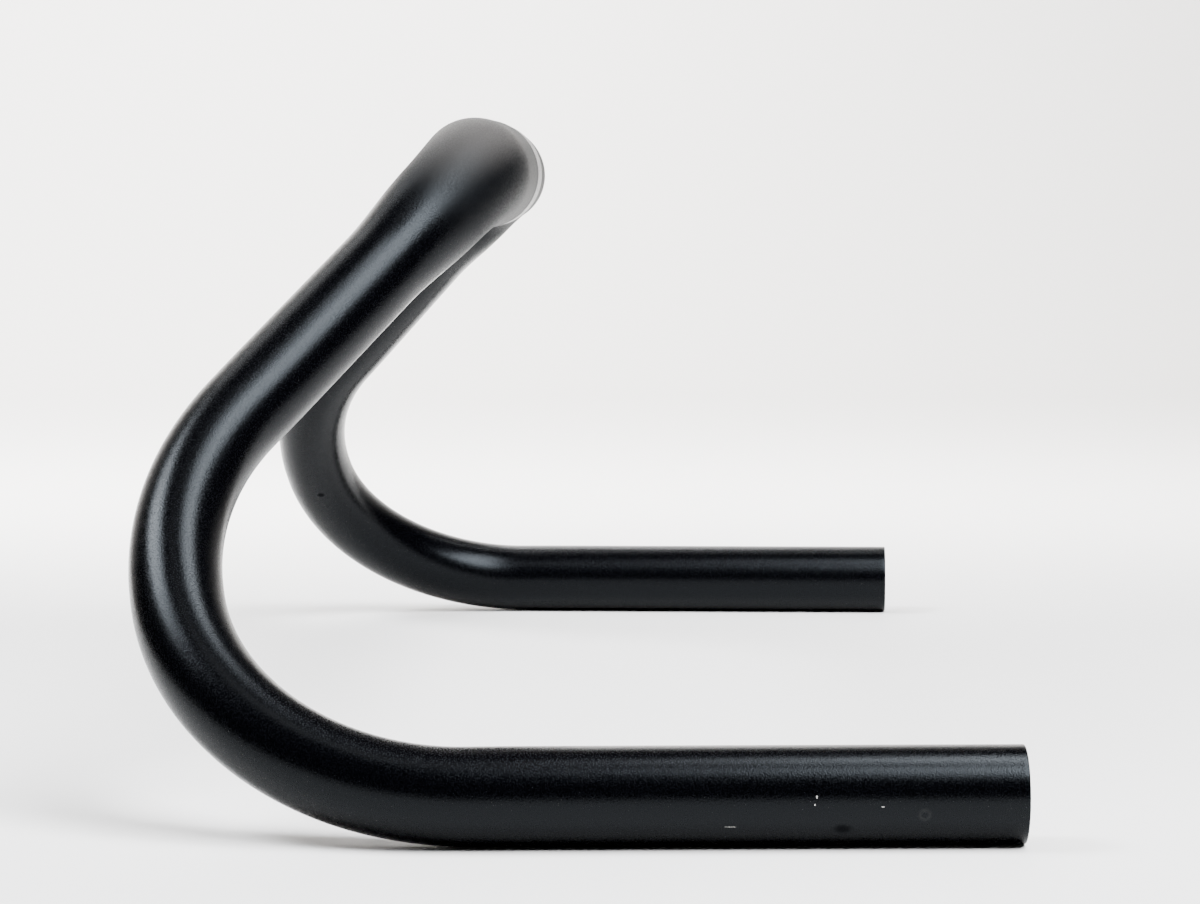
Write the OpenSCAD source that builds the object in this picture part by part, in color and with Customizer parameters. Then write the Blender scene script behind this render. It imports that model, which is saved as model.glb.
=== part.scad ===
/* [Tube] */
// Outside diameter of the tube at the drops, hooks and ramps
tube_od = 23.8; // [22.2:0.1:24.2]
// Wall thickness of the tube
wall = 2.0; // [1.4:0.1:2.6]
// How much thinner the tube is drawn through its bends
bend_draw = 0.4; // [0.2:0.1:0.8]
// Bevel left by deburring the rim of each open end
rim_bevel = 0.4; // [0.2:0.1:0.8]

/* [Clamp section] */
// Diameter of the section that the stem grips
clamp_d = 31.8; // [30:0.1:32]
// Length of the section that the stem grips
clamp_len = 46; // [40:1:60]
// Diameter where the tops run into the elbows
elbow_od = 29.6; // [27:0.1:29.8]
// Length over which a ramp swells to the elbow diameter
swell_len = 26; // [16:1:34]

/* [Shape] */
// Straight part of each top, from the centre to the elbow
top_half = 99.5; // [86:0.5:116]
// Centreline radius of the elbow between top and ramp
elbow_r = 36; // [32:1:50]
// Straight part of each ramp
ramp_len = 89.5; // [76:0.5:110]
// Centreline radius of the upper hook
upper_r = 87; // [75:1:100]
// Angle turned by the upper hook
upper_angle = 41; // [36:1:46]
// Straight left between the upper and the lower hook
hook_gap = 2; // [1:0.5:6]
// Centreline radius of the lower hook
lower_r = 71.5; // [62:0.5:85]
// Angle turned by the lower hook
lower_angle = 82.5; // [76:0.5:86]
// Lean of the hook planes out of upright
hook_lean = 46; // [30:1:50]
// Angle by which the drops close in towards their ends
drop_toe = 2; // [0:0.5:5]
// Straight part of each drop
drop_len = 133; // [110:1:160]

/* [Hidden] */
$fn = 96;
r_tube = tube_od / 2;
r_elbow = elbow_od / 2;
r_clamp = clamp_d / 2;
hook_angle = upper_angle + lower_angle;
// Each straight run laps this far into the bend beside it
lap = 0.5;
// The bore is cut this far past the open ends
cut_over = 1;

// The bar is symmetrical, so directions are worked out for the +X side.
// X points sideways, Y forwards and Z up, and the drops lie level.
function unit(v) = v / norm(v);
// The direction of v, less what it has along t
function square_to(v, t) = unit(v - (v * t) * t);
top_dir = [1, 0, 0];
// Along the drop, towards its open end
drop_dir = [-sin(drop_toe), -cos(drop_toe), 0];
// Across the drop in the plane of the hook, upwards and inwards
lean_dir = square_to([-sin(hook_lean), 0, cos(hook_lean)], drop_dir);
// Down the ramp, from the elbow to the hook
ramp_dir = cos(hook_angle) * drop_dir - sin(hook_angle) * lean_dir;
elbow_angle = acos(ramp_dir * top_dir);
// Towards the centre of the elbow's bend, at its start and at its end
elbow_in = square_to(ramp_dir, top_dir);
elbow_out = cos(elbow_angle) * elbow_in - sin(elbow_angle) * top_dir;
// Towards the centre of the hook's bend, where it leaves the ramp
hook_in = square_to(drop_dir, ramp_dir);
// Roll of the elbow's plane about the top, and of the hook's plane about the ramp
elbow_roll = atan2(elbow_in[1], -elbow_in[2]);
hook_roll = atan2(cross(elbow_out, hook_in) * ramp_dir, elbow_out * hook_in);

// A straight run turned about Z, from stations of [height, radius]
module turned(stations) {
    low = stations[0][0];
    high = stations[len(stations) - 1][0];
    rotate_extrude()
        polygon([
            [0, low],
            for (s = stations) [s[1], s[0]],
            [0, high]
        ]);
}

// A bend that starts along +Z and turns towards +X
module bend(radius, angle, r) {
    translate([radius, 0, 0])
        rotate([90, 0, 180])
            rotate_extrude(angle = angle)
                translate([radius, 0])
                    circle(r = r - bend_draw / 2);
}

// Carries its children to the far end of such a bend
module past_bend(radius, angle) {
    translate([radius, 0, 0])
        rotate([0, angle, 0])
            translate([-radius, 0, 0])
                children();
}

// Every module below draws a solid rod, its skin moved in by the inset
module top_rod(inset) {
    end = top_half + lap;
    rotate([0, 90, 0])
        turned([
            [-end, r_elbow - inset],
            [-clamp_len / 2, r_clamp - inset],
            [clamp_len / 2, r_clamp - inset],
            [end, r_elbow - inset]
        ]);
}

module drop_rod(inset) {
    if (inset == 0)
        turned([
            [-lap, r_tube],
            [drop_len - rim_bevel, r_tube],
            [drop_len, r_tube - rim_bevel]
        ]);
    else
        turned([
            [-lap, r_tube - inset],
            [drop_len + cut_over, r_tube - inset]
        ]);
}

module hook_rod(inset) {
    r = r_tube - inset;
    bend(upper_r, upper_angle, r);
    past_bend(upper_r, upper_angle) {
        turned([[-lap, r], [hook_gap + lap, r]]);
        translate([0, 0, hook_gap]) {
            bend(lower_r, lower_angle, r);
            past_bend(lower_r, lower_angle)
                drop_rod(inset);
        }
    }
}

module side_rod(inset) {
    translate([top_half, 0, 0])
        rotate([0, 90, 0])
            rotate([0, 0, elbow_roll]) {
                bend(elbow_r, elbow_angle, r_elbow - inset);
                past_bend(elbow_r, elbow_angle) {
                    turned([
                        [-lap, r_elbow - inset],
                        [swell_len, r_tube - inset],
                        [ramp_len + lap, r_tube - inset]
                    ]);
                    translate([0, 0, ramp_len])
                        rotate([0, 0, hook_roll])
                            hook_rod(inset);
                }
            }
}

module whole_rod(inset) {
    top_rod(inset);
    side_rod(inset);
    mirror([1, 0, 0]) side_rod(inset);
}

// One tube, open at both ends
module handlebar() {
    color([0.07, 0.07, 0.08])
        difference() {
            whole_rod(0);
            whole_rod(wall);
        }
}

handlebar();
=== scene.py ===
import math

import bpy
import numpy as np
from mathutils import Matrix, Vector


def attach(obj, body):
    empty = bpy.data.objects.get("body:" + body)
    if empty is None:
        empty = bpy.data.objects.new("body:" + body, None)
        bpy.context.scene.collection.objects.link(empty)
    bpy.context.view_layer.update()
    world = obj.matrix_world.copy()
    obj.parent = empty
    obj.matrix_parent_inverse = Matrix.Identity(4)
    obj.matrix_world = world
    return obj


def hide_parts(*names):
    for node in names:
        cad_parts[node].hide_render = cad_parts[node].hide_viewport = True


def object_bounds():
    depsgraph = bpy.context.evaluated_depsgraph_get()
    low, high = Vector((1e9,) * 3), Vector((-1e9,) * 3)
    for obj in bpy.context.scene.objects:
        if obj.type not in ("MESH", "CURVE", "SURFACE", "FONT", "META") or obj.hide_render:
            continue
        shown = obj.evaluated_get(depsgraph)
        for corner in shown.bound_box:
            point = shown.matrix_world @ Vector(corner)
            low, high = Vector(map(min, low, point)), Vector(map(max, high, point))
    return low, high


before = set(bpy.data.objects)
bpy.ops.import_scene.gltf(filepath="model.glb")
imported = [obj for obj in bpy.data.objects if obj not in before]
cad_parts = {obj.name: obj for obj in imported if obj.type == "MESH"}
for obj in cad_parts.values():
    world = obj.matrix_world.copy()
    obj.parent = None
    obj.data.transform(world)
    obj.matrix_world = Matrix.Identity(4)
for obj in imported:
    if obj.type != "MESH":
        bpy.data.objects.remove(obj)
CAD_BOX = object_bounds()

# Sizes that the part's source has too, in metres and radians
TUBE_R = 0.0119
WALL = 0.002
CLAMP_R = 0.0159
CLAMP_HALF = 0.023
TOP_HALF = 0.0995
ELBOW_R = 0.036
RAMP_LEN = 0.0895
UPPER_R = 0.087
UPPER_ANGLE = math.radians(41)
HOOK_GAP = 0.002
LOWER_R = 0.0715
LOWER_ANGLE = math.radians(82.5)
HOOK_LEAN = math.radians(46)
DROP_TOE = math.radians(2)
DROP_LEN = 0.133
RIM_ROUND = 0.0004

# Finer shape that the skin has: the soft shoulder beside the clamp section, the tube's radius at both ends of
# the elbow, how far that change reaches past the elbow, the length of the swell from the elbow on, and how
# far before the elbow's end it begins
SHOULDER_LEN = 0.006
SHOULDER_R = 0.01562
ELBOW_IN_R = 0.01536
ELBOW_OUT_R = 0.01375
ELBOW_EASE = 0.004
SWELL_LEN = 0.028
SWELL_EASE = 0.002

# Share of its width that the tube keeps in the plane of a bend, and half the length over which that comes in
FLAT = 0.977
FLAT_EASE = 0.016

# Grid of the skin: the longest step between rings, the points round a ring, the rings over each rim, and how
# many steps of the skin make one step of the bore
RING_STEP = 0.0014
AROUND = 88
RIM_RINGS = 11
BORE_EVERY = 4


def unit(v):
    """The vector v at length one."""
    return np.asarray(v, float) / np.linalg.norm(v)


def square_to(v, t):
    """The direction of v, less what it has along t."""
    return unit(v - np.dot(v, t) * t)


def smooth(a, b, x):
    """0 below a, 1 above b, and 3u^2 - 2u^3 between them."""
    u = np.clip((x - a) / (b - a), 0.0, 1.0)
    return u * u * (3 - 2 * u)


# Directions on the +X half, from the middle outwards. X points sideways, Y forwards and Z up.
TOP_DIR = np.array([1.0, 0.0, 0.0])
DROP_DIR = np.array([-math.sin(DROP_TOE), -math.cos(DROP_TOE), 0.0])
# Across the drop in the plane of the hook, upwards and inwards
LEAN_DIR = square_to(np.array([-math.sin(HOOK_LEAN), 0.0, math.cos(HOOK_LEAN)]), DROP_DIR)
HOOK_ANGLE = UPPER_ANGLE + LOWER_ANGLE
RAMP_DIR = math.cos(HOOK_ANGLE) * DROP_DIR - math.sin(HOOK_ANGLE) * LEAN_DIR
ELBOW_ANGLE = math.acos(np.dot(RAMP_DIR, TOP_DIR))

# Distances along the bar, from its middle to the ends of its bends
ELBOW_END = TOP_HALF + ELBOW_R * ELBOW_ANGLE
HOOK_START = ELBOW_END + RAMP_LEN
HOOK_END = HOOK_START + UPPER_R * UPPER_ANGLE + HOOK_GAP + LOWER_R * LOWER_ANGLE


def half_route():
    """The centreline of the +X half, as straights and bends laid end to end from the middle outwards.

    A straight is its start plus the distance times its direction. A bend is its start plus the radius times
    (sin a along the tangent + (1 - cos a) along the normal), for a from nothing to the bend's angle.
    Returns points, tangents, normals towards the nearest bend's centre, and distances from the middle."""
    points, tangents, normals = [], [], []
    here = np.zeros(3)

    def straight(length, tangent, normal):
        nonlocal here
        count = max(math.ceil(length / RING_STEP), 2)
        s = np.linspace(0.0, length, count, endpoint=False)[:, None]
        points.append(here + s * tangent)
        tangents.append(np.repeat(tangent[None], count, 0))
        normals.append(np.repeat(normal[None], count, 0))
        here = here + length * tangent

    def bend(radius, angle, tangent, normal):
        """Lays a bend and returns the tangent and normal at its far end."""
        nonlocal here
        count = max(math.ceil(radius * angle / RING_STEP), 2)
        a = np.linspace(0.0, angle, count, endpoint=False)[:, None]
        points.append(here + radius * (np.sin(a) * tangent + (1 - np.cos(a)) * normal))
        tangents.append(np.cos(a) * tangent + np.sin(a) * normal)
        normals.append(np.cos(a) * normal - np.sin(a) * tangent)
        here = here + radius * (math.sin(angle) * tangent + (1 - math.cos(angle)) * normal)
        return (math.cos(angle) * tangent + math.sin(angle) * normal,
                math.cos(angle) * normal - math.sin(angle) * tangent)

    elbow_in = square_to(RAMP_DIR, TOP_DIR)
    hook_in = square_to(DROP_DIR, RAMP_DIR)
    straight(CLAMP_HALF, TOP_DIR, elbow_in)
    straight(SHOULDER_LEN, TOP_DIR, elbow_in)
    straight(TOP_HALF - CLAMP_HALF - SHOULDER_LEN, TOP_DIR, elbow_in)
    _, elbow_out = bend(ELBOW_R, ELBOW_ANGLE, TOP_DIR, elbow_in)
    straight(RAMP_LEN / 2, RAMP_DIR, elbow_out)
    straight(RAMP_LEN / 2, RAMP_DIR, hook_in)
    tangent, normal = bend(UPPER_R, UPPER_ANGLE, RAMP_DIR, hook_in)
    straight(HOOK_GAP, tangent, normal)
    tangent, normal = bend(LOWER_R, LOWER_ANGLE, tangent, normal)
    straight(DROP_LEN, tangent, normal)
    points.append(here[None])
    tangents.append(tangent[None])
    normals.append(normal[None])
    points = np.vstack(points)
    steps = np.linalg.norm(np.diff(points, axis=0), axis=1)
    return points, np.vstack(tangents), np.vstack(normals), np.r_[0.0, np.cumsum(steps)]


def whole_route():
    """The +X half and its mirror image, as one route from the -X end to the +X end.

    Returns points, tangents, normals, and distances from the middle, which are below zero on the -X half."""
    points, tangents, normals, s = half_route()
    flip = np.array([-1.0, 1.0, 1.0])
    left_points = (points * flip)[:0:-1]
    left_tangents = (-tangents * flip)[:0:-1]
    left_normals = (normals * flip)[:0:-1]
    return (np.vstack([left_points, points]), np.vstack([left_tangents, tangents]),
            np.vstack([left_normals, normals]), np.r_[-s[:0:-1], s])


def tube_radius(s):
    """Outside radius at distance s from the middle.

    Even over the clamp section, a short fall at its shoulder, a slow cone to the elbow, a smooth fall through
    the elbow, and a smooth fall to the tube's own radius along the start of the ramp."""
    d = np.abs(s)
    places = [CLAMP_HALF, CLAMP_HALF + SHOULDER_LEN, TOP_HALF]
    top = np.interp(d, places, [CLAMP_R, SHOULDER_R, ELBOW_IN_R])
    elbow = smooth(TOP_HALF - ELBOW_EASE, ELBOW_END + ELBOW_EASE, d)
    swell = smooth(ELBOW_END - SWELL_EASE, ELBOW_END + SWELL_LEN, d)
    return top + (ELBOW_OUT_R - ELBOW_IN_R) * elbow + (TUBE_R - ELBOW_OUT_R) * swell


def bend_share(s):
    """1 inside a bend and 0 on a straight: a smooth rise at its start times a smooth fall at its end."""
    d = np.abs(s)
    share = np.zeros_like(d)
    for start, end in ((TOP_HALF, ELBOW_END), (HOOK_START, HOOK_END)):
        rise = smooth(start - FLAT_EASE, start + FLAT_EASE, d)
        share += rise * (1 - smooth(end - FLAT_EASE, end + FLAT_EASE, d))
    return share


def ring_axes(tangents):
    """Two unit directions square to the route at each ring, turned as little as possible from ring to ring.

    The first is the upward direction, and each next ring's is the last one, both less their part along the
    tangent."""
    up = np.empty_like(tangents)
    v = np.array([0.0, 0.0, 1.0])
    for i, t in enumerate(tangents):
        v = square_to(v, t)
        up[i] = v
    return up, np.cross(tangents, up)


def rim_rings(centre, outward, ring, radius):
    """Rings over an open end, from the skin to the bore: a quarter round, a flat and a quarter round.

    For an angle a from 0 to a half turn, a ring lies (1 - sin a) roundings short of the cut. Its radius is
    the skin's less (1 - cos a) roundings up to a quarter turn, and the bore's plus (1 + cos a) past it."""
    a = np.linspace(0.0, math.pi, RIM_RINGS + 2)[1:-1]
    ahead = RIM_ROUND * (np.sin(a) - 1)
    skin_side = radius - RIM_ROUND * (1 - np.cos(a))
    bore_side = radius - WALL + RIM_ROUND * (1 + np.cos(a))
    r = np.where(a < math.pi / 2, skin_side, bore_side)
    return centre + ahead[:, None, None] * outward + r[:, None, None] * ring


def closed_faces(rows, cols):
    """Four-sided faces between each ring and the next, with the last ring joined to the first."""
    i, j = np.arange(rows)[:, None], np.arange(cols)[None]
    next_i, next_j = (i + 1) % rows, (j + 1) % cols
    corners = (i * cols + j, next_i * cols + j, next_i * cols + next_j, i * cols + next_j)
    return np.stack([corner.ravel() for corner in corners], 1)


def smooth_mesh(name, verts, faces):
    """A mesh of the given points and four-sided faces, shaded smooth."""
    mesh = bpy.data.meshes.new(name)
    mesh.from_pydata(verts.tolist(), [], faces.tolist())
    mesh.validate()
    mesh.polygons.foreach_set("use_smooth", np.ones(len(faces), bool))
    mesh.update()
    return mesh


def skin_mesh(name):
    """Closed wall of the tube: the outer skin, a rounded rim, the bore, and the other rim, as one grid.

    A ring's point is its centre + radius * (cos q * up + sin q * side), pressed in along a bend's normal by
    the flattening. The bore is every fourth ring and the last one, less the wall, in the opposite order."""
    points, tangents, normals, s = whole_route()
    up, side = ring_axes(tangents)
    outer = tube_radius(s)
    q = np.arange(AROUND) * 2 * math.pi / AROUND
    cos_q, sin_q = np.cos(q)[None, :, None], np.sin(q)[None, :, None]
    ring = cos_q * up[:, None] + sin_q * side[:, None]
    lean = np.einsum("ijk,ik->ij", ring, normals)
    ring = ring - ((1 - FLAT) * bend_share(s))[:, None, None] * lean[..., None] * normals[:, None]

    index = np.arange(len(s))
    bore = np.unique(np.r_[index[::BORE_EVERY], index[-1]])[::-1]
    outside = points[:, None] + outer[:, None, None] * ring
    inside = points[bore][:, None] + (outer - WALL)[bore, None, None] * ring[bore]
    # The rings beside a rim stand back by its rounding, so that the rim ends on the cut
    left_out, right_out = -tangents[0], tangents[-1]
    outside[0] -= left_out * RIM_ROUND
    outside[-1] -= right_out * RIM_ROUND
    inside[0] -= right_out * RIM_ROUND
    inside[-1] -= left_out * RIM_ROUND
    right_rim = rim_rings(points[-1], right_out, ring[-1], outer[-1])
    left_rim = rim_rings(points[0], left_out, ring[0], outer[0])[::-1]
    grid = np.concatenate([outside, right_rim, inside, left_rim])
    mesh = smooth_mesh(name, grid.reshape(-1, 3), closed_faces(len(grid), AROUND))

    # Distance along the bar, and how far the outer skin looks up, for the finish and the painted sheen that
    # follow the tube
    along = np.concatenate([s, np.full(RIM_RINGS, s[-1]), s[bore], np.full(RIM_RINGS, s[0])])
    upward = np.zeros(grid.shape[:2])
    upward[:len(s)] = ring[..., 2]
    for label, values in (("along", np.repeat(along, AROUND)), ("upward", upward.ravel())):
        layer = mesh.attributes.new(label, "FLOAT", "POINT")
        layer.data.foreach_set("value", values.astype(np.float32))
    return mesh


def add_object(name, data):
    """A new object in the scene, around a mesh, a lamp or a camera."""
    added = bpy.data.objects.new(name, data)
    bpy.context.scene.collection.objects.link(added)
    return added


def new_material(name):
    """A material and its surface shader."""
    material = bpy.data.materials.new(name)
    material.use_nodes = True
    return material, material.node_tree.nodes["Principled BSDF"]


# The mix node's sockets go by number, because their names repeat
MIX_SHARE, MIX_FIRST, MIX_SECOND, MIX_RESULT = 0, 6, 7, 2


def feed(tree, socket, value):
    """Gives an input socket a constant, or joins another node's output to it."""
    if isinstance(value, bpy.types.NodeSocket):
        tree.links.new(value, socket)
    else:
        socket.default_value = value


def maths(tree, operation, a, b=0.0):
    """One number from one or two, each a socket or a constant."""
    node = tree.nodes.new("ShaderNodeMath")
    node.operation = operation
    feed(tree, node.inputs[0], a)
    feed(tree, node.inputs[1], b)
    return node.outputs["Value"]


def vector_maths(tree, operation, a, b, result="Vector"):
    """One vector or number from two vectors, each a socket or a constant."""
    node = tree.nodes.new("ShaderNodeVectorMath")
    node.operation = operation
    feed(tree, node.inputs[0], a)
    feed(tree, node.inputs[1], b)
    return node.outputs[result]


def ease(tree, value, start, end, low=0.0, high=1.0, kind="SMOOTHSTEP"):
    """The low number up to start, the high one from end on, and a smooth or linear run between them."""
    node = tree.nodes.new("ShaderNodeMapRange")
    node.interpolation_type = kind
    feed(tree, node.inputs["Value"], value)
    for socket, number in (("From Min", start), ("From Max", end), ("To Min", low), ("To Max", high)):
        node.inputs[socket].default_value = number
    return node.outputs["Result"]


def mixed(tree, share, first, second):
    """The first colour at share 0, the second at share 1, and a blend between them."""
    node = tree.nodes.new("ShaderNodeMix")
    node.data_type = "RGBA"
    feed(tree, node.inputs[MIX_SHARE], share)
    feed(tree, node.inputs[MIX_FIRST], first)
    feed(tree, node.inputs[MIX_SECOND], second)
    return node.outputs[MIX_RESULT]


def skin_value(tree, label):
    """A number that the mesh holds at each of its points."""
    node = tree.nodes.new("ShaderNodeAttribute")
    node.attribute_name = label
    return node.outputs["Fac"]


# Marks on the finish: centre, then half sizes along X, Y and Z, in metres. Nicks show bare metal.
NICKS = [((-0.2788, -0.08672, -0.14649), (0.004, 0.00024, 0.00046)),
         ((-0.2789, -0.08626, -0.14837), (0.004, 0.00018, 0.00030)),
         ((-0.2783, -0.10222, -0.14891), (0.004, 0.00042, 0.00019)),
         ((-0.2781, -0.06639, -0.15372), (0.004, 0.00160, 0.00007))]
SMUDGE = ((-0.2767, -0.09295, -0.15437), (0.006, 0.0036, 0.0020))
SPOT = ((-0.2776, -0.11211, -0.15090), (0.006, 0.0019, 0.0019))
FAR_NICK = ((0.2199, 0.0673, -0.1135), (0.006, 0.0016, 0.0010))

# The reach at a mark's edge: one half size, and 0.3 that the grain adds on average. Then the grain's part.
MARK_EDGE = 1.3
MARK_RAGGED = 0.6
# Widths over which the edge of each kind of mark fades
NICK_FADE, SMUDGE_FADE, FAR_FADE, SPOT_FADE, SPOT_CORE_FADE = 0.35, 0.9, 0.6, 0.5, 0.6
# The spot is a faint ring: how many times smaller its core is, how strongly the core is taken out, and the
# ring's share of bare metal
SPOT_CORE, SPOT_DEPTH, SPOT_METAL = 1.5, 2.0, 0.02
# Roughness that the smudge and the far nick add
DULL_ROUGHNESS = 0.8

# Grain: how fine it is, the range of its noise that counts, the roughness over that range, and its bump
GRAIN_SCALE = 2700.0
GRAIN_DETAIL = 2.0
GRAIN_RANGE = (0.4, 0.6)
GRAIN_ROUGHNESS = (0.14, 0.30)
BUMP_STRENGTH = 0.5
BUMP_HEIGHT = 0.0001

# Distances along the bar from its middle over which the finish changes: the edge of the smoother clamp
# section, the outer end of the matt finish, where the painted sheen comes to full strength, and its outer end
CLAMP_EDGE = (0.0225, 0.0240)
MATT_END = (0.126, 0.152)
PAINTED_SHEEN_FULL = (0.070, 0.105)
PAINTED_SHEEN_END = (0.110, 0.141)
# Roughness that the matt finish adds and that the clamp section lacks
MATT_ROUGHNESS = 0.32
CLAMP_SMOOTHER = 0.22
# The painted sheen between the elbows, as a share of its full strength, and how far the skin looks up where
# the painted sheen begins and where it is full
PAINTED_SHEEN_MIDDLE = 0.4
PAINTED_SHEEN_UP = (0.2, 0.85)

# Colours of the finish, where each black has its place on the grain's noise, the grey of the painted sheen,
# the bare metal, and the gloss and its tint
DEEP_BLACK = (0.35, (0.0002, 0.0002, 0.0004, 1))
PALE_BLACK = (0.75, (0.0008, 0.0009, 0.0015, 1))
# Painted sheen: a grey painted into the colour of skin that looks up, standing in for light reflected from
# above
PAINTED_SHEEN_GREY = (0.049, 0.045, 0.042, 1)
BARE_METAL = (0.36, 0.35, 0.33, 1)
GLOSS_LEVEL = 0.096
GLOSS_TINT = (0.86, 0.94, 1.0, 1)


def reach_of(tree, place, grain, mark):
    """Distance from a mark's centre, counted in the mark's half sizes, plus a part of the grain."""
    centre, sizes = mark
    shift = vector_maths(tree, "SUBTRACT", place, centre)
    scaled = vector_maths(tree, "MULTIPLY", shift, [1 / v for v in sizes])
    length = vector_maths(tree, "LENGTH", scaled, (0.0, 0.0, 0.0), "Value")
    return maths(tree, "ADD", length, maths(tree, "MULTIPLY", grain, MARK_RAGGED))


def inside(tree, reach, fade):
    """1 within a mark and 0 outside, fading inwards from its edge."""
    return ease(tree, reach, MARK_EDGE, MARK_EDGE - fade)


def black_roughness(tree, place, grain, along):
    """The grain's roughness, more on matt tops and elbows and in dull marks, less on the clamp section."""
    smudge = inside(tree, reach_of(tree, place, grain, SMUDGE), SMUDGE_FADE)
    far_nick = inside(tree, reach_of(tree, place, grain, FAR_NICK), FAR_FADE)
    dull = maths(tree, "MAXIMUM", smudge, far_nick)
    fine = ease(tree, grain, *GRAIN_RANGE, *GRAIN_ROUGHNESS, kind="LINEAR")
    matt = ease(tree, along, *MATT_END, MATT_ROUGHNESS, 0.0)
    clamp = ease(tree, along, *CLAMP_EDGE, CLAMP_SMOOTHER, 0.0, kind="LINEAR")
    rough = maths(tree, "ADD", fine, matt)
    worn = maths(tree, "ADD", rough, maths(tree, "MULTIPLY", dull, DULL_ROUGHNESS))
    return maths(tree, "SUBTRACT", worn, clamp)


def black_tone(tree, grain):
    """The grain's noise as a run from the deep to the pale black."""
    tone = tree.nodes.new("ShaderNodeValToRGB")
    for stop, (position, colour) in zip(tone.color_ramp.elements, (DEEP_BLACK, PALE_BLACK)):
        stop.position = position
        stop.color = colour
    feed(tree, tone.inputs["Fac"], grain)
    return tone.outputs["Color"]


def painted_sheen_share(tree, along):
    """Strength of the painted sheen, a grey painted on skin that looks up in place of light reflected from
    above: full on the elbows, fainter on the tops between them.
    """
    facing = ease(tree, skin_value(tree, "upward"), *PAINTED_SHEEN_UP)
    outer_end = ease(tree, along, PAINTED_SHEEN_END[1], PAINTED_SHEEN_END[0])
    middle = ease(tree, along, *PAINTED_SHEEN_FULL, PAINTED_SHEEN_MIDDLE, 1.0)
    return maths(tree, "MULTIPLY", facing, maths(tree, "MULTIPLY", outer_end, middle))


def metal_share(tree, place, grain):
    """How much bare metal shows: all in the nicks, and a little in the ring of the spot."""
    bare = 0.0
    for mark in NICKS:
        bare = maths(tree, "MAXIMUM", inside(tree, reach_of(tree, place, grain, mark), NICK_FADE), bare)
    spot = reach_of(tree, place, grain, SPOT)
    core = inside(tree, maths(tree, "MULTIPLY", spot, SPOT_CORE), SPOT_CORE_FADE)
    disc = inside(tree, spot, SPOT_FADE)
    ring = maths(tree, "SUBTRACT", disc, maths(tree, "MULTIPLY", core, SPOT_DEPTH))
    return maths(tree, "MAXIMUM", bare, maths(tree, "MULTIPLY", ring, SPOT_METAL))


def black_anodising():
    """Satin black with a faint cool cast: fine grain in tone, roughness and bump, a painted sheen of grey on
    skin that looks up, and a few marks.
    """
    material, skin = new_material("satin_black_finish")
    tree = material.node_tree
    place = tree.nodes.new("ShaderNodeTexCoord").outputs["Object"]
    noise = tree.nodes.new("ShaderNodeTexNoise")
    noise.inputs["Scale"].default_value = GRAIN_SCALE
    noise.inputs["Detail"].default_value = GRAIN_DETAIL
    feed(tree, noise.inputs["Vector"], place)
    grain = noise.outputs["Fac"]
    along = maths(tree, "ABSOLUTE", skin_value(tree, "along"))
    skin.inputs["Specular IOR Level"].default_value = GLOSS_LEVEL
    skin.inputs["Specular Tint"].default_value = GLOSS_TINT
    feed(tree, skin.inputs["Roughness"], black_roughness(tree, place, grain, along))
    # Painted sheen: grey mixed into the base colour of skin that looks up, standing in for light reflected
    # from above
    black = mixed(tree, painted_sheen_share(tree, along), black_tone(tree, grain), PAINTED_SHEEN_GREY)
    feed(tree, skin.inputs["Base Color"], mixed(tree, metal_share(tree, place, grain), black, BARE_METAL))
    bump = tree.nodes.new("ShaderNodeBump")
    bump.inputs["Strength"].default_value = BUMP_STRENGTH
    bump.inputs["Distance"].default_value = BUMP_HEIGHT
    feed(tree, bump.inputs["Height"], grain)
    feed(tree, skin.inputs["Normal"], bump.outputs["Normal"])
    return material


def floor_paint():
    """A dull warm white."""
    material, skin = new_material("pale_floor")
    skin.inputs["Base Color"].default_value = (0.97, 0.935, 0.90, 1)
    skin.inputs["Roughness"].default_value = 0.6
    return material


def sweep_stage(floor_z):
    """A floor that curves up into a wall: a profile carried sideways, a quarter circle between straights."""
    front, back, curve, top, half, arc_points = -3.2, 2.6, 0.8, 3.2, 4.0, 25
    a = np.linspace(0.0, math.pi / 2, arc_points)
    profile = np.vstack([
        [[front, floor_z]],
        np.stack([back - curve + curve * np.sin(a), floor_z + curve * (1 - np.cos(a))], 1),
        [[back, floor_z + top]],
    ])
    verts = np.vstack([np.insert(profile, 1, y, axis=1) for y in (-half, half)])
    count = len(profile)
    k = np.arange(count - 1)
    faces = np.stack([k, k + 1, count + k + 1, count + k], 1)
    stage = add_object("sweep", smooth_mesh("sweep", verts, faces))
    stage.data.materials.append(floor_paint())
    return stage


# Tints of the lamps
COOL, COOLER, FAINTLY_COOL, PLAIN = (0.91, 0.95, 1.0), (0.89, 0.94, 1.0), (0.98, 0.99, 1.0), (1.0, 1.0, 1.0)
# The point that the soft boxes are aimed at, below the middle of the top
AIM = Vector((0.0, 0.0, -0.06))
# Soft boxes: name, azimuth from +X towards +Y and height angle in degrees, distance from the aim, width and
# height in metres, radiance, and tint
SOFT_BOXES = [("right_box", 223, 47, 1.31, 0.80, 0.58, 33.0, COOL),
              ("top_box", 246, 68, 1.05, 0.42, 0.38, 27.0, COOL),
              ("left_box", 97, 48, 1.29, 0.66, 0.47, 31.0, COOLER),
              ("back_box", 35, 57, 1.14, 0.5, 0.4, 4.0, PLAIN),
              ("front_fill", 162, 64, 1.07, 0.26, 0.24, 4.0, PLAIN)]
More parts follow.
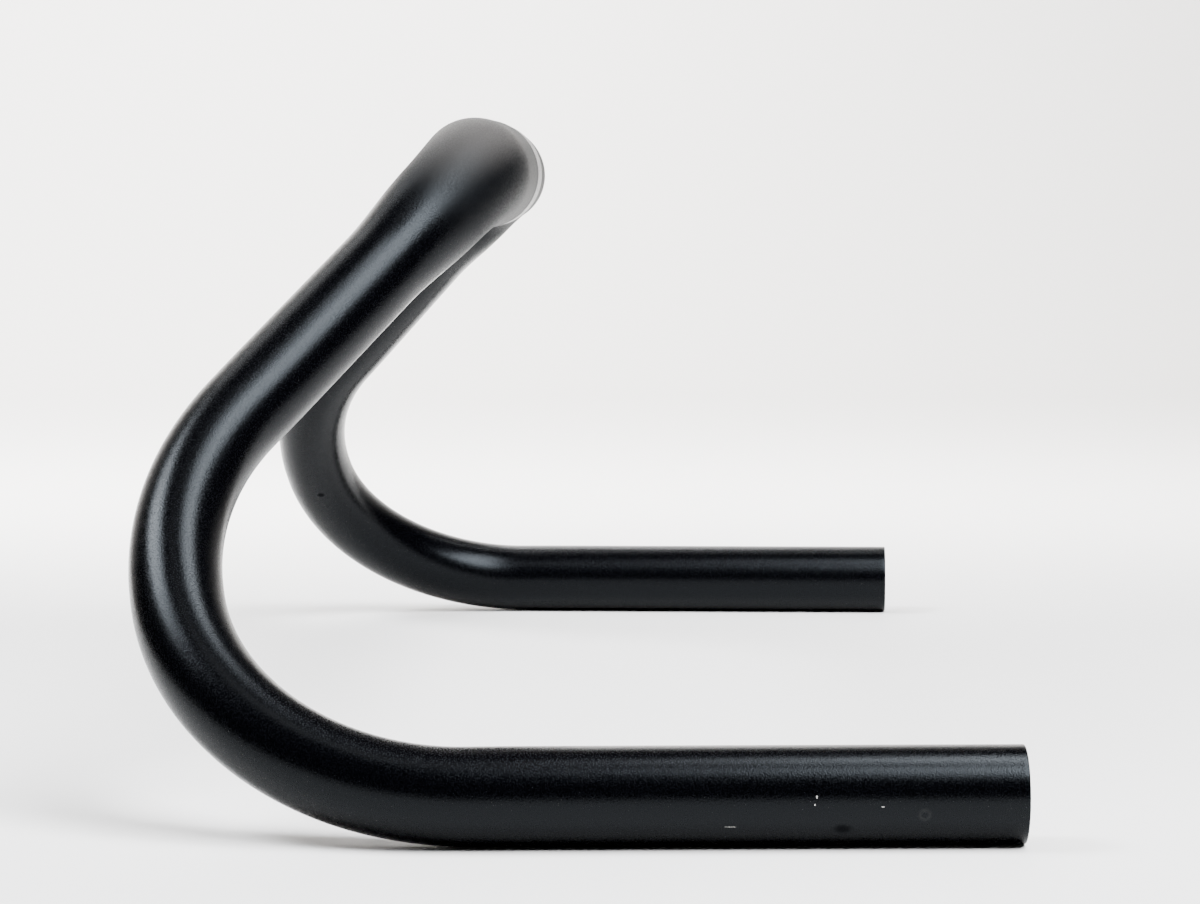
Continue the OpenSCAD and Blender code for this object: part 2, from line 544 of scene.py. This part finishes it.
# Washes: name, place, direction, width, height, radiance and tint. The first lights the wall. The second is
# turned away from the bar, so it lights the floor behind it and doesn't show in the finish.
WALL_PLACE = Vector((1.7, 0.5, 1.3))
WALL_AIM = Vector((2.5, 0.7, 0.0))
WASHES = [("wall_wash", WALL_PLACE, WALL_AIM - WALL_PLACE, 1.4, 0.5, 31.0, FAINTLY_COOL),
          ("floor_wash", Vector((0.6, 0.35, 0.55)), Vector((1.0, 0.0, -0.55)), 1.7, 0.3, 36.0, FAINTLY_COOL)]
# The room's own light
ROOM_GREY = (0.8, 0.8, 0.8, 1)
ROOM_STRENGTH = 0.03


def add_panel(name, place, direction, width, tall, radiance, tint):
    """A flat lamp at a place, shining along a direction.

    The power that gives a flat panel a stated radiance is pi times the radiance times the panel's area."""
    lamp = bpy.data.lights.new(name, "AREA")
    lamp.shape = "RECTANGLE"
    lamp.size = width
    lamp.size_y = tall
    lamp.energy = math.pi * radiance * width * tall
    lamp.color = tint
    panel = add_object(name, lamp)
    panel.location = place
    panel.rotation_euler = direction.to_track_quat("-Z", "Y").to_euler()
    return panel


def add_lights():
    """The soft boxes round the bar, the washes behind it, and a dim grey room."""
    for name, azimuth, height, distance, width, tall, radiance, tint in SOFT_BOXES:
        a, e = math.radians(azimuth), math.radians(height)
        outward = Vector((math.cos(a) * math.cos(e), math.sin(a) * math.cos(e), math.sin(e)))
        place = AIM + distance * outward
        add_panel(name, place, AIM - place, width, tall, radiance, tint)
    for wash in WASHES:
        add_panel(*wash)
    world = bpy.data.worlds.new("studio")
    world.use_nodes = True
    background = world.node_tree.nodes["Background"]
    background.inputs["Color"].default_value = ROOM_GREY
    background.inputs["Strength"].default_value = ROOM_STRENGTH
    bpy.context.scene.world = world


# The camera as fitted to the photo: place in metres, angles in degrees, focal length and width of the frame
# in pixels, and a sensor's width in millimetres
CAMERA_PLACE = (-1.22115, -0.04284, -0.00406)
CAMERA_DOWN = math.radians(3.733)
CAMERA_TURN = math.radians(-0.422)
FOCAL_PX = 4053.0
FRAME_WIDTH_PX = 1200
SENSOR_WIDTH = 36.0


def add_camera():
    """Looks along +X, turned by CAMERA_TURN towards -Y and tipped down by CAMERA_DOWN."""
    data = bpy.data.cameras.new("photo_camera")
    data.sensor_fit = "HORIZONTAL"
    data.sensor_width = SENSOR_WIDTH
    data.lens = FOCAL_PX / FRAME_WIDTH_PX * SENSOR_WIDTH
    data.clip_start = 0.05
    camera = add_object("photo_camera", data)
    forward = Vector((math.cos(CAMERA_TURN) * math.cos(CAMERA_DOWN),
                      -math.sin(CAMERA_TURN) * math.cos(CAMERA_DOWN),
                      -math.sin(CAMERA_DOWN)))
    camera.location = CAMERA_PLACE
    camera.rotation_euler = forward.to_track_quat("-Z", "Y").to_euler()
    bpy.context.scene.camera = camera
    return camera


bar = add_object("bar_skin", skin_mesh("bar_skin"))
bar.data.materials.append(black_anodising())
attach(bar, "root")
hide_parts("handlebar")

sweep_stage(CAD_BOX[0][2])
add_lights()
add_camera()
